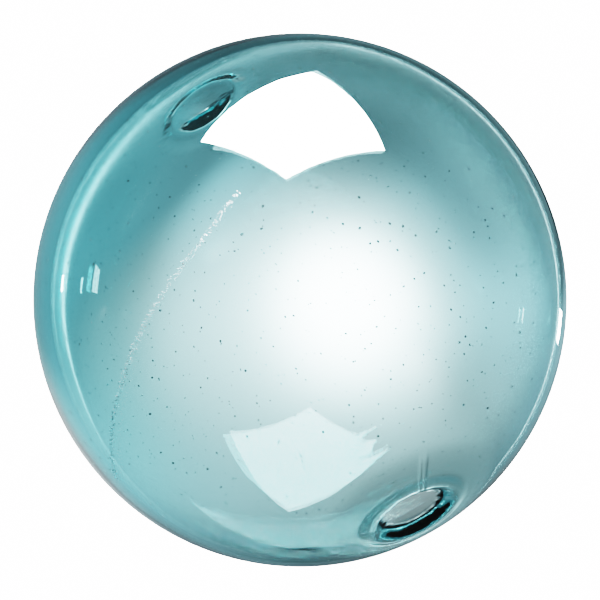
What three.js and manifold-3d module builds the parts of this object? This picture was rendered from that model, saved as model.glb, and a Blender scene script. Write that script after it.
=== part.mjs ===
// A hand-blown glass fishing float, lying on a small flat spot.
//
// The float is one piece of glass: a blown ball whose blow hole is a round crater closed by a
// thin sunken disc, and, at the opposite pole, the shallow scar where the ball was held.
// Crater and scar share one axis, the blowing axis, so the whole form is a turned profile.
// Lengths are millimetres, +Z is up, and the origin is on the ground under the ball's middle.

import * as THREE from "three";
import { mergeVertices } from "three/addons/utils/BufferGeometryUtils.js";
import Module from "manifold-3d";

const wasm = await Module();
wasm.setup();

// Driving dimensions

const BALL_RADIUS = 60;

const SEAL_RADIUS = 6.7; // the thin disc that closes the blow hole
const SEAL_DEPTH = 1.9; // how far the disc sits below the ball's surface
const CRATER_RADIUS = 9.8; // the mouth of the crater above the disc
const LIP_HEIGHT = 0.35; // the soft swelling round the crater
const LIP_WIDTH = 3;

const SCAR_RADIUS = 9; // the hollow at the opposite pole
const SCAR_DEPTH = 2;
const SCAR_LIP_HEIGHT = 0.35; // the soft ridge round the hollow
const SCAR_LIP_WIDTH = 3;

const SEAL_BEARING = THREE.MathUtils.degToRad(-53); // of the crater, turned from +X about +Z
const SEAL_DIP = THREE.MathUtils.degToRad(45); // of the crater, below the horizontal

const FLAT_RADIUS = 7; // the resting spot

// How finely the turned profile is cut up

const SEGMENTS_AROUND = 60;
const SEAL_STEPS = 16;
const SIDE_STEPS = 30;
const SCAR_STEPS = 9;

const smoothFall = (distance, from, to) =>
  1 - THREE.MathUtils.smoothstep(distance, from, to);

// A ring-shaped swelling, highest at a distance of ridge from the pole.
function ringRelief(distance, ridge, height, width) {
  return height * smoothFall(Math.abs(distance - ridge), 0, width);
}

// How the crater shapes the surface, at a distance along the ball from the disc's middle.
function sealRelief(distance) {
  const lip = ringRelief(distance, CRATER_RADIUS, LIP_HEIGHT, LIP_WIDTH);
  return lip - SEAL_DEPTH * smoothFall(distance, SEAL_RADIUS, CRATER_RADIUS);
}

// The same for the scar: a hollow inside a soft ridge.
function scarRelief(distance) {
  const ridge = ringRelief(distance, SCAR_RADIUS, SCAR_LIP_HEIGHT, SCAR_LIP_WIDTH);
  return ridge - SCAR_DEPTH * smoothFall(distance, 0, SCAR_RADIUS);
}

// Angles from the scar's pole to the crater's pole, close together over each relief.
function profileAngles() {
  const scarEnd = (SCAR_RADIUS + SCAR_LIP_WIDTH) / BALL_RADIUS;
  const sealStart = Math.PI - (CRATER_RADIUS + LIP_WIDTH) / BALL_RADIUS;
  const stretches = [
    [0, scarEnd, SCAR_STEPS],
    [scarEnd, sealStart, SIDE_STEPS],
    [sealStart, Math.PI, SEAL_STEPS],
  ];
  const angles = [0];
  for (const [from, to, steps] of stretches) {
    for (let step = 1; step <= steps; step += 1) {
      angles.push(from + ((to - from) * step) / steps);
    }
  }
  return angles;
}

// The ball's outline, from the scar at -Y to the crater at +Y, with both ends on the axis.
function profile() {
  const angles = profileAngles();
  return angles.map((angle, index) => {
    const fromScar = BALL_RADIUS * angle;
    const fromSeal = BALL_RADIUS * (Math.PI - angle);
    const radius = BALL_RADIUS + scarRelief(fromScar) + sealRelief(fromSeal);
    const atPole = index === 0 || index === angles.length - 1;
    const outwards = atPole ? 0 : radius * Math.sin(angle);
    return new THREE.Vector2(outwards, -radius * Math.cos(angle));
  });
}

function toManifold(geometry) {
  const bare = geometry.clone();
  bare.deleteAttribute("normal");
  bare.deleteAttribute("uv");
  const merged = mergeVertices(bare, 1e-3);
  const vertProperties = merged.attributes.position.array;
  const triVerts = new Uint32Array(merged.index.array);
  return new wasm.Manifold(new wasm.Mesh({ numProp: 3, vertProperties, triVerts }));
}

function toGeometry(manifold) {
  const mesh = manifold.getMesh();
  const geometry = new THREE.BufferGeometry();
  geometry.setAttribute("position", new THREE.BufferAttribute(mesh.vertProperties, 3));
  geometry.setIndex(new THREE.BufferAttribute(mesh.triVerts, 1));
  geometry.computeVertexNormals();
  return geometry;
}

// The turned ball with its blowing axis swung round to where the crater points.
function blownBall() {
  const craterWay = new THREE.Vector3(
    Math.cos(SEAL_DIP) * Math.cos(SEAL_BEARING),
    Math.cos(SEAL_DIP) * Math.sin(SEAL_BEARING),
    -Math.sin(SEAL_DIP),
  );
  const lathe = new THREE.LatheGeometry(profile(), SEGMENTS_AROUND);
  const up = new THREE.Vector3(0, 1, 0);
  return lathe.applyQuaternion(new THREE.Quaternion().setFromUnitVectors(up, craterWay));
}

// The ball's middle stands this high once the resting spot is cut to its radius.
const MIDDLE_HEIGHT = Math.sqrt(BALL_RADIUS ** 2 - FLAT_RADIUS ** 2);

// A block whose top face is the plane of the resting spot, below the ball's middle.
function groundBlock() {
  const width = 4 * FLAT_RADIUS;
  const depth = FLAT_RADIUS;
  const block = new THREE.BoxGeometry(width, width, depth);
  return block.translate(0, 0, -MIDDLE_HEIGHT - depth / 2);
}

// The origin goes under the middle of the finished solid's box, on its lowest plane.
function standOnOrigin(geometry) {
  geometry.computeBoundingBox();
  const middle = geometry.boundingBox.getCenter(new THREE.Vector3());
  return geometry.translate(-middle.x, -middle.y, -geometry.boundingBox.min.z);
}

const seaGlass = new THREE.MeshStandardMaterial({
  name: "sea_green_glass",
  color: 0x9fd2d6,
  roughness: 0.04,
  metalness: 0,
  transparent: true,
  opacity: 0.5,
});

const cutBall = toManifold(blownBall()).subtract(toManifold(groundBlock()));

const float = new THREE.Mesh(standOnOrigin(toGeometry(cutBall)), seaGlass);
float.name = "glass_float";

const part = new THREE.Group();
part.add(float);

export default part;
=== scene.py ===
"""A hand-blown glass net float in a plain studio, laid out as an add-on and run as a script."""

import math

import bpy
from bpy.props import FloatProperty, FloatVectorProperty, IntProperty, PointerProperty
from mathutils import Matrix, Vector


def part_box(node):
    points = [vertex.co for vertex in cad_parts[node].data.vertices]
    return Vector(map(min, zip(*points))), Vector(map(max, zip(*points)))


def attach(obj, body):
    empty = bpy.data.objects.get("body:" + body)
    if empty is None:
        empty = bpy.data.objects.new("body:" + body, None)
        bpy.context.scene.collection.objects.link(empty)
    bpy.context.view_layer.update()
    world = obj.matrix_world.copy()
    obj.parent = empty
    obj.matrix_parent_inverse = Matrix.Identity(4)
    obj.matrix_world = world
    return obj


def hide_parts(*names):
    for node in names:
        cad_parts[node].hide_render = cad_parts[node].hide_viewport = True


bl_info = {
    "name": "Glass Net Float",
    "version": (1, 0, 0),
    "blender": (4, 5, 0),
    "location": "View3D > Sidebar > Net Float",
    "description": "Builds a blown glass net float with its blow hole, seeds and scuffs",
    "category": "Add Mesh",
}

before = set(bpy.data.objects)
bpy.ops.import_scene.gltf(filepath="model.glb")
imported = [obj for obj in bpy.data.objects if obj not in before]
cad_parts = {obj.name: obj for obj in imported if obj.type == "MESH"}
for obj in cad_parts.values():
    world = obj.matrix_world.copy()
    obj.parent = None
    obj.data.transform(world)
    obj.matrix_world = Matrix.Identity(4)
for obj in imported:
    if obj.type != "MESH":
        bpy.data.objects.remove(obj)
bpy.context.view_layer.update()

SOLID = "glass_float"
LOW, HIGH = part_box(SOLID)
BALL_RADIUS = round(max(HIGH.x - LOW.x, HIGH.y - LOW.y) / 2, 4)
BALL_CENTRE = Vector((0, 0, HIGH.z - BALL_RADIUS))

MM = 0.001
# Where the closed blow hole points, from the middle of the ball.
SEAL_BEARING = math.radians(-53)
SEAL_DIP = math.radians(45)
# The lift of the direction that is seen as straight up from the front.
FRONT_UP = math.radians(80)


# Directions


def direction(bearing, lift):
    """A unit vector at a bearing from +X about +Z, and a lift above the horizontal."""
    level = math.cos(lift)
    return Vector((level * math.cos(bearing), level * math.sin(bearing), math.sin(lift)))


def towards(right, up):
    """The unit vector to the near side, by how far right and up it is seen from the front."""
    side = Vector((1, 0, 0))
    rise = direction(math.pi / 2, FRONT_UP)
    back = side.cross(rise)
    return side * right + rise * up + back * math.sqrt(1 - right * right - up * up)


def blow_turn():
    """Turns the ball as it is made, with its blow hole up, to how it lies."""
    return Vector((0, 0, 1)).rotation_difference(direction(SEAL_BEARING, -SEAL_DIP)).to_matrix()


# Node trees written as sums


def plug(tree, value, socket):
    """Links a field to a socket, or sets the socket to a plain value."""
    if isinstance(value, Field):
        tree.links.new(value.socket, socket)
    else:
        socket.default_value = value


class Field:
    """A socket of a node tree that can be added to, multiplied and so on."""

    def __init__(self, tree, socket):
        self.tree = tree
        self.socket = socket

    def math(self, operation, *others):
        node = self.tree.nodes.new("ShaderNodeMath")
        node.operation = operation
        for value, socket in zip((self, *others), node.inputs):
            plug(self.tree, value, socket)
        return Field(self.tree, node.outputs[0])

    def __add__(self, other):
        return self.math("ADD", other)

    def __sub__(self, other):
        return self.math("SUBTRACT", other)

    def __mul__(self, other):
        return self.math("MULTIPLY", other)

    def __truediv__(self, other):
        return self.math("DIVIDE", other)

    def __neg__(self):
        return self.math("MULTIPLY", -1.0)

    def less_from(self, other):
        """other - self"""
        return -self + other

    def rise(self, start, end, low=0.0, high=1.0):
        """Goes smoothly from low to high as the field goes from start to end."""
        node = self.tree.nodes.new("ShaderNodeMapRange")
        node.interpolation_type = "SMOOTHSTEP"
        for value, name in (
            (self, "Value"),
            (start, "From Min"),
            (end, "From Max"),
            (low, "To Min"),
            (high, "To Max"),
        ):
            plug(self.tree, value, node.inputs[name])
        return Field(self.tree, node.outputs[0])

    def fall(self, start, end):
        """Goes smoothly from 1 to 0 as the field goes from start to end."""
        return self.rise(start, end, 1.0, 0.0)

    def ridge(self, middle, width):
        """A smooth ridge of height 1 at middle, gone at a distance of width."""
        return (self - middle).math("ABSOLUTE").fall(0.0, width)


def vector_math(tree, operation, *vectors, output="Vector"):
    node = tree.nodes.new("ShaderNodeVectorMath")
    node.operation = operation
    for value, socket in zip(vectors, node.inputs):
        plug(tree, value, socket)
    return Field(tree, node.outputs[output])


def dot(tree, first, second):
    return vector_math(tree, "DOT_PRODUCT", first, second, output="Value")


def scaled(tree, vector, factor):
    node = tree.nodes.new("ShaderNodeVectorMath")
    node.operation = "SCALE"
    plug(tree, vector, node.inputs[0])
    plug(tree, factor, node.inputs["Scale"])
    return Field(tree, node.outputs["Vector"])


def apart(tree, vector):
    """The x, y and z of a vector."""
    node = tree.nodes.new("ShaderNodeSeparateXYZ")
    plug(tree, vector, node.inputs[0])
    return [Field(tree, socket) for socket in node.outputs]


def together(tree, x, y, z):
    node = tree.nodes.new("ShaderNodeCombineXYZ")
    for value, socket in zip((x, y, z), node.inputs):
        plug(tree, value, socket)
    return Field(tree, node.outputs[0])


def noise(tree, vector, scale, detail=2.0):
    """Soft noise between about -0.5 and 0.5."""
    node = tree.nodes.new("ShaderNodeTexNoise")
    plug(tree, vector, node.inputs["Vector"])
    plug(tree, scale, node.inputs["Scale"])
    node.inputs["Detail"].default_value = detail
    return Field(tree, node.outputs[0]) - 0.5


# Sizes


class BallSizes(bpy.types.PropertyGroup):
    """The blown ball and its wall."""

    radius: FloatProperty(
        name="Ball Radius", description="Outside radius", default=BALL_RADIUS, unit="LENGTH"
    )
    thin_wall: FloatProperty(
        name="Thin Wall",
        description="Wall over most of the ball",
        default=1.9 * MM,
        unit="LENGTH",
    )
    thick_wall: FloatProperty(
        name="Thick Wall", description="Wall on the heavy side", default=3.5 * MM, unit="LENGTH"
    )
    segments: IntProperty(name="Segments", description="Faces round the ball", default=240)
    rings: IntProperty(name="Rings", description="Faces from pole to pole", default=170)


class SealSizes(bpy.types.PropertyGroup):
    """The crater of the blow hole and the thin disc that closes it."""

    disc_radius: FloatProperty(
        name="Disc Radius",
        description="Thin disc in the blow hole",
        default=6.7 * MM,
        unit="LENGTH",
    )
    disc_depth: FloatProperty(
        name="Disc Depth", description="Disc below the ball", default=1.9 * MM, unit="LENGTH"
    )
    disc_wall: FloatProperty(
        name="Disc Wall", description="Thickness of the disc", default=0.5 * MM, unit="LENGTH"
    )
    mouth_radius: FloatProperty(
        name="Mouth Radius", description="Mouth of the crater", default=9.8 * MM, unit="LENGTH"
    )
    lip_height: FloatProperty(
        name="Lip Height",
        description="Swelling round the mouth",
        default=0.35 * MM,
        unit="LENGTH",
    )
    collar_wall: FloatProperty(
        name="Collar Wall",
        description="Extra glass round the hole",
        default=0.6 * MM,
        unit="LENGTH",
    )


class ScarSizes(bpy.types.PropertyGroup):
    """The scar at the other pole, where the ball was held."""

    radius: FloatProperty(
        name="Scar Radius", description="Hollow on the outside", default=9 * MM, unit="LENGTH"
    )
    depth: FloatProperty(
        name="Scar Depth", description="Depth of the hollow", default=2.0 * MM, unit="LENGTH"
    )
    lump_radius: FloatProperty(
        name="Lump Radius", description="Lump inside the ball", default=16 * MM, unit="LENGTH"
    )
    lump_height: FloatProperty(
        name="Lump Height", description="Height of the lump", default=0.6 * MM, unit="LENGTH"
    )


class SeedSizes(bpy.types.PropertyGroup):
    """The small gas bubbles, called seeds, sealed in the wall."""

    count: IntProperty(name="Seeds", description="About how many seeds", default=1800)
    smallest: FloatProperty(
        name="Smallest", description="Radius of a small seed", default=0.12 * MM, unit="LENGTH"
    )
    largest: FloatProperty(
        name="Largest", description="Radius of a large seed", default=0.30 * MM, unit="LENGTH"
    )
    cover: FloatProperty(
        name="Cover", description="Glass over the seeds", default=0.62 * MM, unit="LENGTH"
    )
    turn: IntProperty(name="Pattern", description="Seed of the random places", default=7)


class ScuffSizes(bpy.types.PropertyGroup):
    """The line of scuffs worn into the skin."""

    count: IntProperty(name="Ticks", description="Ticks along the line", default=700)
    length: FloatProperty(
        name="Tick Length",
        description="Half the length of a tick",
        default=0.42 * MM,
        unit="LENGTH",
    )
    width: FloatProperty(
        name="Tick Width",
        description="Half the width of a tick",
        default=0.09 * MM,
        unit="LENGTH",
    )
    spread: FloatProperty(
        name="Spread", description="How far the ticks stray", default=0.65 * MM, unit="LENGTH"
    )
    turn: IntProperty(name="Pattern", description="Seed of the random places", default=3)


class GlassLook(bpy.types.PropertyGroup):
    """The tint and gloss of the glass."""

    tint: FloatVectorProperty(
        name="Tint",
        description="Colour that the glass keeps",
        subtype="COLOR",
        size=3,
        default=(0.02, 0.80, 0.85),
    )
    depth: FloatProperty(
        name="Tint Depth", description="How fast thick glass darkens, per metre", default=140.0
    )
    bend: FloatProperty(name="Bend", description="Index of refraction", default=1.52)


class StudioLook(bpy.types.PropertyGroup):
    """The plain studio."""

    camera_lift: FloatProperty(
        name="Camera Lift",
        description="Angle of the camera above the table",
        default=math.radians(10),
        subtype="ANGLE",
    )
    camera_distance: FloatProperty(
        name="Camera Distance", description="From the ball's middle", default=1.4, unit="LENGTH"
    )
    fill: FloatProperty(
        name="Fill", description="Share of the view's width that the ball takes", default=0.8902
    )


# The ball. Distances along the skin are in metres, from the middle of the blow hole or the scar.

# The middle of the heavy side, and the direction to each side in which it thins out.
HEAVY_SIDE = direction(math.radians(177), math.radians(8))
HEAVY_SPAN = direction(math.radians(90), math.radians(-10))
HEAVY_EDGE = (0.16, 0.95)
# The share by which the light side is thinner along its middle, and where that ends.
BELT_THINNING = 0.2
BELT_EDGE = (0.0, 0.5)
WALL_WAVE = 0.05 * MM
LEAST_WALL = 0.6 * MM

# The ragged edges of the crater and of the scar, and how far in they start.
RAGGED_DEPTH = 1.8 * MM
RAGGED_SCALE = 30.0
CRATER_RAGGED = (0.004, 0.006)
SCAR_RAGGED = (0.001, 0.004)
SCAR_RAGGED_SHARE = 0.35
# The low swellings round them.
LIP_OUTSIDE_MOUTH = 0.001
LIP_WIDTH = 0.003
SCAR_LIP_HEIGHT = 0.35 * MM
# The slow waviness of the whole skin.
WOBBLE_SCALE = 3.0
WOBBLE_DEPTH = 0.02 * MM
# The fine rings gathered round the crater: where they start and end, how close and how deep.
RIPPLE_START = (0.0085, 0.0105)
RIPPLE_END = (0.012, 0.022)
RIPPLE_CLOSENESS = 450.0
RIPPLE_DRIFT = 6.0
RIPPLE_DEPTH = 0.03 * MM
# The puckers round the scar.
PUCKER_START = (0.009, 0.011)
PUCKER_END = (0.012, 0.018)
PUCKER_SCALE = 40.0
PUCKER_DEPTH = 0.15 * MM
# The short double crease beside the crater: its ends as seen from the front, how far each line
# lies from the middle and how wide it is in millimetres, and how it dies away at the ends.
CREASE_ENDS = ((0.44, -0.72), (0.45, -0.56))
CREASE_OFFSET = 0.55
CREASE_WIDTH = 0.45
CREASE_FADE = (0.993, 0.998)
CREASE_DEPTH = 0.16 * MM
# How far the collar reaches in mouth radii, how wide the top of the lump is in lump radii, and
# how far inside and outside the disc's edge the cavity turns up to the disc.
COLLAR_REACH = 2.3
LUMP_TOP = 0.25
DISC_INSIDE = 0.0002
DISC_OUTSIDE = 0.0016

# How far the rings of faces crowd towards the poles, where the crater and the scar are.
POLE_CROWDING = 0.8
# The cavity has this share of the skin's faces each way, in quarters.
CAVITY_QUARTERS = 3

# Seeds keep clear of the poles and stray from their usual depth. Most are small and drawn out.
SEEDS_CLEAR = (0.94, 0.95)
SEED_STRAY = 0.25 * MM
SEED_RARITY = 3.0
SEED_DRAWN = 1.5

SOCKET_KINDS = (
    (float, "NodeSocketFloat"),
    (Vector, "NodeSocketVector"),
    (bpy.types.Material, "NodeSocketMaterial"),
)


def begin_tree(name, values):
    """A geometry node tree with a named input for each value, and the fields of its inputs."""
    tree = bpy.data.node_groups.new(name, "GeometryNodeTree")
    make = tree.interface.new_socket
    make("Geometry", in_out="INPUT", socket_type="NodeSocketGeometry")
    for label, value in values.items():
        kind = next(kind for sort, kind in SOCKET_KINDS if isinstance(value, sort))
        make(label, in_out="INPUT", socket_type=kind)
    make("Geometry", in_out="OUTPUT", socket_type="NodeSocketGeometry")
    return tree, entry_fields(tree)


def entry_fields(tree):
    """The inputs of a tree, by name."""
    entry = tree.nodes.new("NodeGroupInput")
    return {socket.name: Field(tree, socket) for socket in entry.outputs if socket.name}


def finish_tree(tree, geometry, material):
    """Ends a tree in Realize Instances and Set Material."""
    real = tree.nodes.new("GeometryNodeRealizeInstances")
    tree.links.new(geometry, real.inputs["Geometry"])
    coat = tree.nodes.new("GeometryNodeSetMaterial")
    tree.links.new(real.outputs["Geometry"], coat.inputs["Geometry"])
    plug(tree, material, coat.inputs["Material"])
    leaving = tree.nodes.new("NodeGroupOutput")
    tree.links.new(coat.outputs["Geometry"], leaving.inputs["Geometry"])


def joined(tree, *parts):
    node = tree.nodes.new("GeometryNodeJoinGeometry")
    for part in parts:
        tree.links.new(part, node.inputs["Geometry"])
    return node.outputs["Geometry"]


def point_position(tree):
    return Field(tree, tree.nodes.new("GeometryNodeInputPosition").outputs[0])


def crease(tree, way):
    """1 along the short double crease beside the blow hole, 0 elsewhere."""
    made = blow_turn().inverted()
    start, end = (made @ towards(*spot) for spot in CREASE_ENDS)
    level = start.cross(end).normalized()
    aside = dot(tree, way, tuple(level)) * (BALL_RADIUS / MM)
    lines = aside.ridge(-CREASE_OFFSET, CREASE_WIDTH) + aside.ridge(CREASE_OFFSET, CREASE_WIDTH)
    middle = (start + end).normalized()
    near = dot(tree, way, tuple(middle))
    return lines * near.rise(*CREASE_FADE)


def wall_group():
    """A geometry node group: how thick the wall is in a given direction from the middle."""
    tree = bpy.data.node_groups.new("Wall thickness", "GeometryNodeTree")
    make = tree.interface.new_socket
    for name in ("Direction", "Heavy Side", "Heavy Span"):
        make(name, in_out="INPUT", socket_type="NodeSocketVector")
    for name in ("Thin Wall", "Thick Wall"):
        make(name, in_out="INPUT", socket_type="NodeSocketFloat")
    make("Wall", in_out="OUTPUT", socket_type="NodeSocketFloat")
    given = entry_fields(tree)
    along = dot(tree, given["Direction"], given["Heavy Side"]).rise(0.0, 1.0)
    across = dot(tree, given["Direction"], given["Heavy Span"]).math("POWER", 2.0)
    share = along * across.fall(*HEAVY_EDGE)
    wave = noise(tree, given["Direction"], 2.0, detail=1.0) * WALL_WAVE
    light_side = given["Thin Wall"] * (across.fall(*BELT_EDGE) * -BELT_THINNING + 1.0)
    wall = light_side + (given["Thick Wall"] - light_side) * share + wave
    leaving = tree.nodes.new("NodeGroupOutput")
    plug(tree, wall.math("MAXIMUM", LEAST_WALL), leaving.inputs["Wall"])
    return tree


def skin_shape(tree, given, way, from_seal, from_scar):
    """How far the outer skin is from the middle of the ball."""
    ragged = noise(tree, way, RAGGED_SCALE, detail=3.0) * RAGGED_DEPTH
    at_seal = from_seal + ragged * from_seal.rise(*CRATER_RAGGED)
    at_scar = from_scar + ragged * from_scar.rise(*SCAR_RAGGED) * SCAR_RAGGED_SHARE
    crater = at_seal.fall(given["Disc Radius"], given["Mouth Radius"]) * given["Disc Depth"]
    lip_radius = given["Mouth Radius"] + LIP_OUTSIDE_MOUTH
    lip = from_seal.ridge(lip_radius, LIP_WIDTH) * given["Lip Height"]
    scar = at_scar.fall(0.0, given["Scar Radius"]) * given["Scar Depth"]
    scar_lip = at_scar.ridge(given["Scar Radius"], LIP_WIDTH) * SCAR_LIP_HEIGHT
    wobble = noise(tree, way, WOBBLE_SCALE, detail=1.0) * WOBBLE_DEPTH
    body = given["Ball Radius"] - crater + lip - scar + scar_lip + wobble
    puckered = from_scar.rise(*PUCKER_START) * from_scar.fall(*PUCKER_END)
    puckers = noise(tree, way, PUCKER_SCALE) * puckered * PUCKER_DEPTH
    gathered = from_seal.rise(*RIPPLE_START) * from_seal.fall(*RIPPLE_END)
    drift = apart(tree, way)[0] * RIPPLE_DRIFT
    rings = noise(tree, together(tree, from_seal * RIPPLE_CLOSENESS, drift, 0.0), 1.0)
    ripple = rings * gathered * RIPPLE_DEPTH
    return body + puckers + ripple - crease(tree, way) * CREASE_DEPTH


def cavity_shape(tree, given, way, from_seal, from_scar):
    """How far the surface of the empty space is from the middle of the ball."""
    wall = tree.nodes.new("GeometryNodeGroup")
    wall.node_tree = wall_group()
    plug(tree, way, wall.inputs["Direction"])
    for name in ("Heavy Side", "Heavy Span", "Thin Wall", "Thick Wall"):
        plug(tree, given[name], wall.inputs[name])
    thickness = Field(tree, wall.outputs["Wall"])
    mouth, disc, lump_radius = given["Mouth Radius"], given["Disc Radius"], given["Lump Radius"]
    collar = from_seal.fall(mouth, mouth * COLLAR_REACH)
    lump = from_scar.fall(lump_radius * LUMP_TOP, lump_radius)
    swollen = thickness + collar * given["Collar Wall"] + lump * given["Lump Height"]
    at_disc = given["Disc Depth"] + given["Disc Wall"]
    inside = from_seal.fall(disc - DISC_INSIDE, disc + DISC_OUTSIDE)
    depth = swollen + (at_disc - swollen) * inside
    return given["Ball Radius"] - depth


def dense_at_poles(tree, position, crowding):
    """Slides the rings of a unit ball towards its poles, and returns the direction and angle."""
    x, y, z = apart(tree, position)
    angle = z.math("MINIMUM", 1.0).math("MAXIMUM", -1.0).math("ARCCOSINE")
    slid = angle - (angle * 2.0).math("SINE") * (crowding / 2)
    stretch = slid.math("SINE") / angle.math("SINE").math("MAXIMUM", 1e-5)
    way = together(tree, x * stretch, y * stretch, slid.math("COSINE"))
    return way, slid


def shell(tree, given, segments, rings, shape):
    """A ball whose points are set by shape(tree, given, way, from_seal, from_scar)."""
    sphere = tree.nodes.new("GeometryNodeMeshUVSphere")
    sphere.inputs["Segments"].default_value = segments
    sphere.inputs["Rings"].default_value = rings
    sphere.inputs["Radius"].default_value = 1.0
    way, angle = dense_at_poles(tree, point_position(tree), POLE_CROWDING)
    from_seal = angle * given["Ball Radius"]
    from_scar = angle.less_from(math.pi) * given["Ball Radius"]
    reach = shape(tree, given, way, from_seal, from_scar)
    place = tree.nodes.new("GeometryNodeSetPosition")
    tree.links.new(sphere.outputs["Mesh"], place.inputs["Geometry"])
    plug(tree, scaled(tree, way, reach), place.inputs["Position"])
    return place.outputs["Geometry"]


def random_value(tree, low, high, seed, kind="FLOAT"):
    node = tree.nodes.new("FunctionNodeRandomValue")
    node.data_type = kind
    sockets = [s for s in node.inputs if s.enabled]
    for value, socket in zip((low, high), sockets):
        plug(tree, value, socket)
    node.inputs["Seed"].default_value = seed
    return Field(tree, next(s for s in node.outputs if s.enabled))


def specks(tree, points, place, outward, size):
    """Twenty-sided specks on points, lying along the skin, at a place and of a size."""
    shift = tree.nodes.new("GeometryNodeSetPosition")
    tree.links.new(points, shift.inputs["Geometry"])
    plug(tree, place, shift.inputs["Position"])
    speck = tree.nodes.new("GeometryNodeMeshIcoSphere")
    speck.inputs["Radius"].default_value = 1.0
    speck.inputs["Subdivisions"].default_value = 1
    facing = tree.nodes.new("FunctionNodeAlignRotationToVector")
    facing.axis = "X"
    plug(tree, outward, facing.inputs["Vector"])
    copies = tree.nodes.new("GeometryNodeInstanceOnPoints")
    tree.links.new(shift.outputs[0], copies.inputs["Points"])
    tree.links.new(speck.outputs["Mesh"], copies.inputs["Instance"])
    tree.links.new(facing.outputs[0], copies.inputs["Rotation"])
    plug(tree, size, copies.inputs["Scale"])
    real = tree.nodes.new("GeometryNodeRealizeInstances")
    tree.links.new(copies.outputs[0], real.inputs["Geometry"])
    return real.outputs["Geometry"]


def seed_bubbles(tree, given, seeds):
    """Drawn-out bubbles in the wall, clear of the blow hole and the scar."""
    sphere = tree.nodes.new("GeometryNodeMeshIcoSphere")
    sphere.inputs["Radius"].default_value = 1.0
    sphere.inputs["Subdivisions"].default_value = 4
    scatter = tree.nodes.new("GeometryNodeDistributePointsOnFaces")
    tree.links.new(sphere.outputs["Mesh"], scatter.inputs["Mesh"])
    scatter.inputs["Seed"].default_value = seeds.turn
    way = vector_math(tree, "NORMALIZE", point_position(tree))
    height = apart(tree, way)[2].math("ABSOLUTE")
    density = height.fall(*SEEDS_CLEAR) * (seeds.count / (4 * math.pi))
    plug(tree, density, scatter.inputs["Density"])
    share = random_value(tree, 0.0, 1.0, 1).math("POWER", SEED_RARITY)
    radius = share * (given["Largest Seed"] - given["Smallest Seed"]) + given["Smallest Seed"]
    stray = random_value(tree, -SEED_STRAY, SEED_STRAY, 2) * share.less_from(1.0)
    depth = stray + given["Cover"]
    drawn = radius * random_value(tree, 1.0, SEED_DRAWN, 3)
    place = scaled(tree, way, depth.less_from(given["Ball Radius"]))
    size = together(tree, radius, radius, drawn)
    return specks(tree, scatter.outputs["Points"], place, way, size)


def ball_tree(ball, seeds, values):
    """The geometry node tree of the blown ball: its outer skin and the empty space in it."""
    tree, given = begin_tree("Blown ball", values)
    segments = ball.segments * CAVITY_QUARTERS // 4
    rings = ball.rings * CAVITY_QUARTERS // 4
    outer = shell(tree, given, ball.segments, ball.rings, skin_shape)
    inner = shell(tree, given, segments, rings, cavity_shape)
    flipped = tree.nodes.new("GeometryNodeFlipFaces")
    empty = joined(tree, inner, seed_bubbles(tree, given, seeds))
    tree.links.new(empty, flipped.inputs["Mesh"])
    smooth = tree.nodes.new("GeometryNodeSetShadeSmooth")
    whole = joined(tree, outer, flipped.outputs["Mesh"])
    tree.links.new(whole, smooth.inputs["Geometry"])
    finish_tree(tree, smooth.outputs["Geometry"], given["Glass"])
    return tree


# The scuffs

# The worn line down the near side, by how far right and up it is seen from the front.
SCUFF_LINE = (
    (-0.22, 0.39),
    (-0.37, 0.19),
    (-0.56, -0.08),
    (-0.635, -0.26),
    (-0.69, -0.49),
    (-0.68, -0.66),
)
# The share of full size that the smallest tick has, and how flat a tick lies.
LEAST_TICK = 0.2
TICK_FLATNESS = 0.5
# Ground glass: its colour, how fine its grain is, and its roughness with the grain's share of it.
GROUND_COLOUR = (0.9, 0.98, 1, 1)
GRAIN_SCALE = 900.0
GRAIN_SHARE = 0.5
GROUND_ROUGHNESS = 0.45


def scuff_tree(scuffs, values):
    """The geometry node tree of the scuffs: ticks strewn along a line on the ball."""
    tree, given = begin_tree("Scuffs", values)
    line = tree.nodes.new("GeometryNodeMeshToCurve")
    tree.links.new(given["Geometry"].socket, line.inputs["Mesh"])
    along = tree.nodes.new("GeometryNodeResampleCurve")
    tree.links.new(line.outputs["Curve"], along.inputs["Curve"])
    along.inputs["Count"].default_value = scuffs.count
    points = tree.nodes.new("GeometryNodeCurveToPoints")
    points.mode = "EVALUATED"
    tree.links.new(along.outputs["Curve"], points.inputs["Curve"])
    stray = random_value(tree, (-1, -1, -1), (1, 1, 1), scuffs.turn, "FLOAT_VECTOR")
    wander = scaled(tree, stray, given["Spread"])
    moved = vector_math(tree, "ADD", point_position(tree), wander)
    way = vector_math(tree, "NORMALIZE", moved)
    drawn = random_value(tree, 0.0, 1.0, scuffs.turn + 1)
    share = drawn.math("POWER", 2.0) + LEAST_TICK
    width = given["Tick Width"]
    size = together(tree, width * TICK_FLATNESS, width * share, given["Tick Length"] * share)
    place = scaled(tree, way, given["Ball Radius"])
    ticks = specks(tree, points.outputs["Points"], place, way, size)
    finish_tree(tree, ticks, given["Glass"])
    return tree


# Growing the pieces


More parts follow.
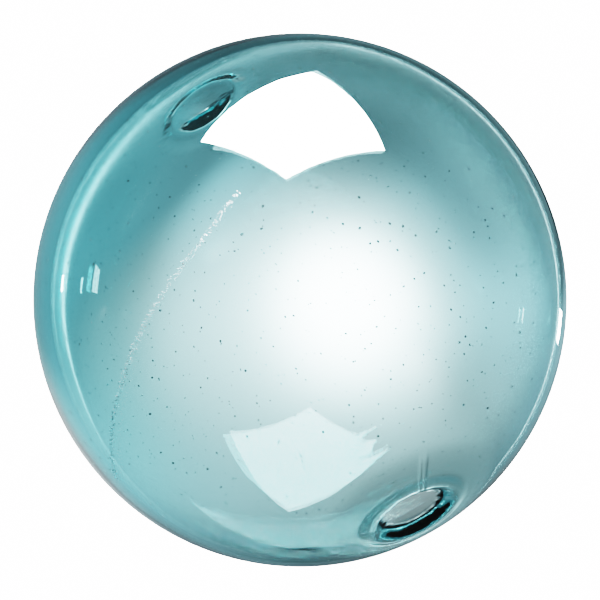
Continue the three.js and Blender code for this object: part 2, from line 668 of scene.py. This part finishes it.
def grown(name, tree, values, line=()):
    """Runs a geometry node tree on a line of points and returns a plain mesh object."""
    path = bpy.data.meshes.new(name + "_line")
    path.from_pydata(line, [(i, i + 1) for i in range(len(line) - 1)], [])
    host = bpy.data.objects.new(name + "_line", path)
    bpy.context.scene.collection.objects.link(host)
    shape = host.modifiers.new("Shape", "NODES")
    shape.node_group = tree
    for item in tree.interface.items_tree:
        if item.in_out == "INPUT" and item.name in values:
            shape[item.identifier] = values[item.name]
    bpy.context.view_layer.update()
    graph = bpy.context.evaluated_depsgraph_get()
    mesh = bpy.data.meshes.new_from_object(host.evaluated_get(graph))
    bpy.data.objects.remove(host)
    mesh.name = name
    if not mesh.polygons:
        raise RuntimeError(f"{name} came out with no faces")
    piece = bpy.data.objects.new(name, mesh)
    bpy.context.scene.collection.objects.link(piece)
    return piece


def settle(piece):
    """Puts a piece made round the middle of the ball, blow hole up, where it lies."""
    piece.data.transform(Matrix.Translation(BALL_CENTRE) @ blow_turn().to_4x4())
    for vertex in piece.data.vertices:
        vertex.co.z = max(vertex.co.z, 0.0)


def glass_shader(name, colour, bend):
    """A new material whose shader is clear glass of a colour."""
    material = bpy.data.materials.new(name)
    material.use_nodes = True
    shader = material.node_tree.nodes["Principled BSDF"]
    shader.inputs["Base Color"].default_value = colour
    shader.inputs["IOR"].default_value = bend
    shader.inputs["Transmission Weight"].default_value = 1.0
    return material, shader


def glass_material(look):
    """Clear glass whose tint deepens with its thickness."""
    material, shader = glass_shader("sea_green_glass", (1, 1, 1, 1), look.bend)
    shader.inputs["Roughness"].default_value = 0.0
    tree = material.node_tree
    depth = tree.nodes.new("ShaderNodeVolumeAbsorption")
    depth.inputs["Color"].default_value = (*look.tint, 1)
    depth.inputs["Density"].default_value = look.depth
    tree.links.new(depth.outputs[0], tree.nodes["Material Output"].inputs["Volume"])
    return material


def scuff_material(look):
    """Ground glass: how rough it is varies from tick to tick."""
    material, shader = glass_shader("ground_glass", GROUND_COLOUR, look.bend)
    tree = material.node_tree
    position = Field(tree, tree.nodes.new("ShaderNodeTexCoord").outputs["Object"])
    grain = noise(tree, position, GRAIN_SCALE) * GRAIN_SHARE
    plug(tree, grain + GROUND_ROUGHNESS, shader.inputs["Roughness"])
    return material


class FLOAT_OT_ball(bpy.types.Operator):
    """Blow the ball: its skin, its wall, the closed blow hole and the scar"""

    bl_idname = "net_float.ball"
    bl_label = "Blow the Ball"

    def execute(self, context):
        scene = context.scene
        ball, seal, scar = scene.float_ball, scene.float_seal, scene.float_scar
        seeds = scene.float_seeds
        made = blow_turn().inverted()
        values = {
            "Ball Radius": ball.radius,
            "Thin Wall": ball.thin_wall,
            "Thick Wall": ball.thick_wall,
            "Disc Radius": seal.disc_radius,
            "Disc Depth": seal.disc_depth,
            "Disc Wall": seal.disc_wall,
            "Mouth Radius": seal.mouth_radius,
            "Lip Height": seal.lip_height,
            "Collar Wall": seal.collar_wall,
            "Scar Radius": scar.radius,
            "Scar Depth": scar.depth,
            "Lump Radius": scar.lump_radius,
            "Lump Height": scar.lump_height,
            "Smallest Seed": seeds.smallest,
            "Largest Seed": seeds.largest,
            "Cover": seeds.cover,
            "Heavy Side": made @ HEAVY_SIDE,
            "Heavy Span": made @ HEAVY_SPAN,
            "Glass": glass_material(scene.float_glass),
        }
        piece = grown("blown_ball", ball_tree(ball, seeds, values), values)
        settle(piece)
        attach(piece, "root")
        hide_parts(SOLID)
        return {"FINISHED"}


class FLOAT_OT_scuffs(bpy.types.Operator):
    """Wear the line of scuffs into the skin"""

    bl_idname = "net_float.scuffs"
    bl_label = "Scuff the Skin"

    def execute(self, context):
        scene = context.scene
        scuffs = scene.float_scuffs
        made = blow_turn().inverted()
        values = {
            "Ball Radius": scene.float_ball.radius,
            "Tick Length": scuffs.length,
            "Tick Width": scuffs.width,
            "Spread": scuffs.spread,
            "Glass": scuff_material(scene.float_glass),
        }
        line = [made @ towards(*spot) * scene.float_ball.radius for spot in SCUFF_LINE]
        piece = grown("scuffs", scuff_tree(scuffs, values), values, line)
        settle(piece)
        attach(piece, "root")
        return {"FINISHED"}


# The studio


class FLOAT_OT_studio(bpy.types.Operator):
    """Set up the table, the backdrop, the lights and the camera"""

    bl_idname = "net_float.studio"
    bl_label = "Set Up the Studio"

    def execute(self, context):
        look = context.scene.float_studio
        lift = look.camera_lift
        ahead = Vector((0, math.cos(lift), -math.sin(lift)))
        make_backdrop()
        make_lights(ahead)
        make_camera(look, ahead)
        context.scene.view_settings.view_transform = "Filmic"
        context.scene.view_settings.look = "Very High Contrast"
        return {"FINISHED"}


def around(bearing, lift):
    """A unit vector at a bearing to the right of +Y, and a lift above the horizontal."""
    return direction(math.pi / 2 - math.radians(bearing), math.radians(lift))


# Pools of painted light and painted shade in the backdrop's glow behind the ball, most of them
# round the camera's line of sight. Each has the bearing and lift of its line in degrees, how far
# it lies to the right of the line and above it in metres, its strength, below zero for painted
# shade, and its width in metres.
PAINTED_WHITE_POOLS = (
    (0, -10, 0.014, 0.0, 11.0, 0.016),
    (0, -10, 0.014, 0.0, 1.9, 0.032),
    (0, -10, 0.0, 0.0, 0.48, 0.06),
    (0, -10, -0.07, -0.01, 0.5, 0.055),
    (0, -10, -0.04, -0.01, 0.2, 0.03),
    (-45, -25, 0.0, 0.0, 0.15, 0.025),
    (-90, -3, 0.0, 0.0, 0.6, 0.03),
    (135, -15, 0.0, 0.0, 2.5, 0.03),
)
PAINTED_PALE_POOLS = (
    (0, -10, 0.0, 0.0, -0.4, 0.06),
    (0, -10, 0.06, 0.0, 0.4, 0.018),
    (0, -10, 0.085, 0.0, 0.4, 0.018),
    (0, -10, 0.12, 0.0, 0.35, 0.03),
    (0, -10, 0.17, 0.0, 0.35, 0.04),
    (0, -10, 0.045, 0.035, 0.25, 0.025),
    (0, -10, -0.03, 0.0, 0.3, 0.035),
    (0, -10, -0.04, 0.055, 0.5, 0.04),
    (0, -10, -0.08, 0.0, -0.35, 0.05),
    (0, -10, 0.04, -0.05, -0.3, 0.03),
    (0, -10, 0.05, 0.3, -0.35, 0.2),
    (0, -10, 0.2, 0.22, -0.6, 0.16),
    (-45, -25, 0.0, 0.0, 0.1, 0.06),
    (-90, -3, 0.0, 0.0, 0.25, 0.08),
    (135, -15, 0.0, 0.0, 0.5, 0.08),
)
# The painted light between the pools, the least that is left in any painted shade, and the colour
# of both.
PAINTED_LIGHT_LEVEL = 0.4
PAINTED_LIGHT_LEAST = 0.03
PAINTED_LIGHT_TINT = (0.64, 0.91, 1.0)
# How soon behind the middle of the ball, in metres, the painted pools start.
PAINTED_POOLS_START = (0.0, 0.06)
# The bearing and lift of the camera's line of sight, in degrees.
SIGHT = (0, -10)
# Painted shade in the backdrop's glow: a dim corner high up behind and to the right.
PAINTED_DIM_CORNER = (35, 45)
PAINTED_CORNER_EDGE = (0.35, 0.85)
PAINTED_CORNER_LEVEL = 0.25
# Painted shade in the backdrop's glow on the camera's side: what is left of the painted light
# there.
PAINTED_FRONT_SHADE_EDGE = (-0.5, 0.0)
PAINTED_FRONT_SHADE_LEVEL = 0.12
# Painted shade high up: what is left of the painted light there.
PAINTED_ABOVE_SHADE_EDGE = (0.05, 0.35)
PAINTED_ABOVE_SHADE_LEVEL = 0.6
# The painted shadow of the ball on the table, beside where it rests.
PAINTED_SHADOW_PLACE = (0.035, -0.03, -BALL_RADIUS)
PAINTED_SHADOW_REACH = 0.11
PAINTED_SHADOW_LEVEL = 0.05

# The backdrop is a bowl with a flat table for its floor, a little below the ball.
BACKDROP_RADIUS = 4.0
BACKDROP_BRIGHTNESS = 12.0
TABLE_TOP = -0.0002

# The softbox: its place to the left of straight above and towards the camera, its distance in
# metres, its side in metres, its power in watts and its turn in degrees.
SOFTBOX_LEFT = 0.03
SOFTBOX_FORWARD = 0.19
SOFTBOX_DISTANCE = 0.9
SOFTBOX_SIDE = 0.77
SOFTBOX_POWER = 700
SOFTBOX_TURN = 53
# The strips: how far right and how far up they stand, their distance in metres, how far they
# are turned from the camera in degrees, and their width, height and power.
STRIPS = (
    ("strip_left", -1.0, 0.07, 1.0, 121, 0.02, 0.06, 0.5),
    ("strip_right", 1.0, -0.10, 0.24, 139, 0.02, 0.02, 0.06),
)


def pools(tree, place, strength, table):
    """The painted light and painted shade of a table of pools at a place measured from the ball's
    middle.
    """
    for bearing, lift, right, above, power, width in table:
        sight = around(bearing, lift)
        side = sight.cross(Vector((0, 0, 1))).normalized()
        middle = side * right + side.cross(sight) * above
        shifted = vector_math(tree, "SUBTRACT", place, tuple(middle))
        across = vector_math(tree, "CROSS_PRODUCT", shifted, tuple(sight))
        off = vector_math(tree, "LENGTH", across, output="Value")
        bell = ((off / width).math("POWER", 2.0) * -1.0).math("EXPONENT")
        behind = dot(tree, place, tuple(sight)).rise(*PAINTED_POOLS_START)
        strength = bell * behind * power + strength
    return strength.math("MAXIMUM", PAINTED_LIGHT_LEAST)


def backdrop_painted_light(tree):
    """The colour and strength of the painted light and shade that the backdrop gives off to the
    glass.
    """
    position = Field(tree, tree.nodes.new("ShaderNodeTexCoord").outputs["Object"])
    place = vector_math(tree, "SUBTRACT", position, tuple(BALL_CENTRE))
    way = vector_math(tree, "NORMALIZE", place)
    # Painted pools of white and pale light and shade.
    white = pools(tree, place, 0.0, PAINTED_WHITE_POOLS)
    pale = pools(tree, place, PAINTED_LIGHT_LEVEL, PAINTED_PALE_POOLS)
    # Painted shadow of the ball on the table, darkening the glow beside where it rests.
    from_painted_shadow = vector_math(tree, "DISTANCE", place, PAINTED_SHADOW_PLACE, output="Value")
    pale = pale * from_painted_shadow.rise(0.0, PAINTED_SHADOW_REACH, PAINTED_SHADOW_LEVEL, 1.0)
    # Painted shade: the glow dims towards a corner high up behind and to the right.
    corner = dot(tree, way, tuple(around(*PAINTED_DIM_CORNER)))
    pale = pale * corner.rise(*PAINTED_CORNER_EDGE, 1.0, PAINTED_CORNER_LEVEL)
    # Painted shade: the glow dims on the camera's side of the studio.
    beyond = dot(tree, way, tuple(around(*SIGHT)))
    pale = pale * beyond.rise(*PAINTED_FRONT_SHADE_EDGE, PAINTED_FRONT_SHADE_LEVEL, 1.0)
    # Painted shade: the glow dims high up.
    height = apart(tree, way)[2]
    pale = pale * height.rise(*PAINTED_ABOVE_SHADE_EDGE, 1.0, PAINTED_ABOVE_SHADE_LEVEL)
    return together(tree, *(pale * part + white for part in PAINTED_LIGHT_TINT))


def backdrop_material():
    """Plain white to the camera, and painted pools of light and shade to the glass."""
    material = bpy.data.materials.new("white_backdrop_with_painted_light")
    material.use_nodes = True
    tree = material.node_tree
    tree.nodes.clear()
    seen = tree.nodes.new("ShaderNodeEmission")
    seen.inputs["Strength"].default_value = BACKDROP_BRIGHTNESS
    # The painted light and shade, given off to every ray that is not from the camera.
    painted_glow = tree.nodes.new("ShaderNodeEmission")
    plug(tree, backdrop_painted_light(tree), painted_glow.inputs["Color"])
    path = tree.nodes.new("ShaderNodeLightPath")
    mix = tree.nodes.new("ShaderNodeMixShader")
    tree.links.new(path.outputs["Is Camera Ray"], mix.inputs[0])
    tree.links.new(painted_glow.outputs[0], mix.inputs[1])
    tree.links.new(seen.outputs[0], mix.inputs[2])
    out = tree.nodes.new("ShaderNodeOutputMaterial")
    tree.links.new(mix.outputs[0], out.inputs["Surface"])
    return material


def make_backdrop():
    bpy.ops.mesh.primitive_uv_sphere_add(radius=BACKDROP_RADIUS, segments=96, ring_count=64)
    bowl = bpy.context.object
    bowl.name = "backdrop"
    for vertex in bowl.data.vertices:
        vertex.co.z = max(vertex.co.z, TABLE_TOP)
    bowl.data.materials.append(backdrop_material())


def make_lights(ahead):
    right = Vector((1, 0, 0))
    above = right.cross(ahead)
    back = -ahead

    def lamp(name, place, away, width, height, power, roll):
        """A flat light at a place from the ball's middle, its back turned to away."""
        light = bpy.data.lights.new(name, "AREA")
        light.shape = "RECTANGLE"
        light.size = width
        light.size_y = height
        light.energy = power
        holder = bpy.data.objects.new(name, light)
        side = right * math.cos(math.radians(roll)) + back * math.sin(math.radians(roll))
        side = (side - away * side.dot(away)).normalized()
        turn = Matrix((side, away.cross(side), away)).transposed()
        holder.matrix_world = Matrix.Translation(BALL_CENTRE + place) @ turn.to_4x4()
        holder.visible_camera = False
        bpy.context.scene.collection.objects.link(holder)

    place = (above - right * SOFTBOX_LEFT + back * SOFTBOX_FORWARD) * SOFTBOX_DISTANCE
    size = SOFTBOX_SIDE
    lamp("softbox_above", place, above, size, size, SOFTBOX_POWER, SOFTBOX_TURN)
    for name, rightwards, upwards, distance, turn, width, height, power in STRIPS:
        sideways = (right * rightwards + above * upwards) * distance
        away = sideways * math.sin(math.radians(turn))
        away += back * sideways.length * math.cos(math.radians(turn))
        lamp(name, away, away.normalized(), width, height, power, 0)


def make_camera(look, ahead):
    camera = bpy.data.cameras.new("camera")
    holder = bpy.data.objects.new("camera", camera)
    holder.location = BALL_CENTRE - ahead * look.camera_distance
    holder.rotation_euler = (-ahead).to_track_quat("Z", "Y").to_euler()
    limb = math.asin(BALL_RADIUS / look.camera_distance)
    camera.lens = camera.sensor_width / 2 * look.fill / math.tan(limb)
    camera.clip_start = 0.01
    bpy.context.scene.collection.objects.link(holder)
    bpy.context.scene.camera = holder


# The sidebar


class FLOAT_PT_panel(bpy.types.Panel):
    """The sizes and the steps"""

    bl_idname = "FLOAT_PT_panel"
    bl_label = "Glass Net Float"
    bl_space_type = "VIEW_3D"
    bl_region_type = "UI"
    bl_category = "Net Float"

    def draw(self, context):
        for name in SETTINGS:
            group = getattr(context.scene, name)
            box = self.layout.box()
            box.label(text=name.split("_")[1].title())
            for setting in type(group).__annotations__:
                box.prop(group, setting)
        for step in ("ball", "scuffs", "studio"):
            self.layout.operator("net_float." + step)


# Running the steps

CLASSES = (
    BallSizes,
    SealSizes,
    ScarSizes,
    SeedSizes,
    ScuffSizes,
    GlassLook,
    StudioLook,
    FLOAT_OT_ball,
    FLOAT_OT_scuffs,
    FLOAT_OT_studio,
    FLOAT_PT_panel,
)

SETTINGS = {
    "float_ball": BallSizes,
    "float_seal": SealSizes,
    "float_scar": ScarSizes,
    "float_seeds": SeedSizes,
    "float_scuffs": ScuffSizes,
    "float_glass": GlassLook,
    "float_studio": StudioLook,
}


def register():
    for item in CLASSES:
        bpy.utils.register_class(item)
    for name, group in SETTINGS.items():
        setattr(bpy.types.Scene, name, PointerProperty(type=group))


def unregister():
    for name in SETTINGS:
        delattr(bpy.types.Scene, name)
    for item in reversed(CLASSES):
        bpy.utils.unregister_class(item)


def main():
    register()
    bpy.ops.net_float.ball()
    bpy.ops.net_float.scuffs()
    bpy.ops.net_float.studio()


if __name__ == "__main__":
    main()
